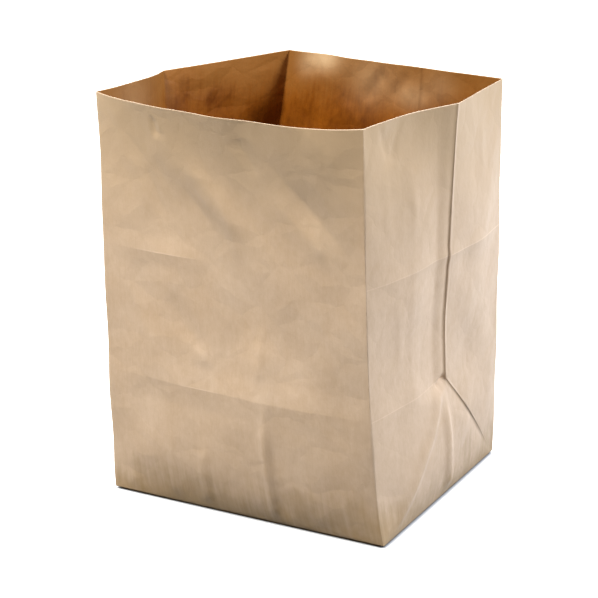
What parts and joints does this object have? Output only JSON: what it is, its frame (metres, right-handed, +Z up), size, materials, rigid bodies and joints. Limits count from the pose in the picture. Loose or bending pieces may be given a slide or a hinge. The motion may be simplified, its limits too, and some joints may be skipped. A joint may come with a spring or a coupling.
{
  "type": "brown paper lunch bag",
  "caption": "Open flat-bottomed lunch bag folded from one sheet of brown kraft paper, with pleated side gussets and a mitred glued base.",
  "frame": {"origin": "middle of the base, on the underside of the glued bottom flap that the bag stands on", "axes": "+Z up to the open rim; the front panel faces -Y; the pleated gussets face +X and -X"},
  "size_m": [0.2136, 0.1881, 0.2417],
  "materials": {
    "kraft_paper": "uncoated"
  },
  "bodies": {
    "root": {"paper_bag": "kraft_paper"}
  },
  "joints": []
}
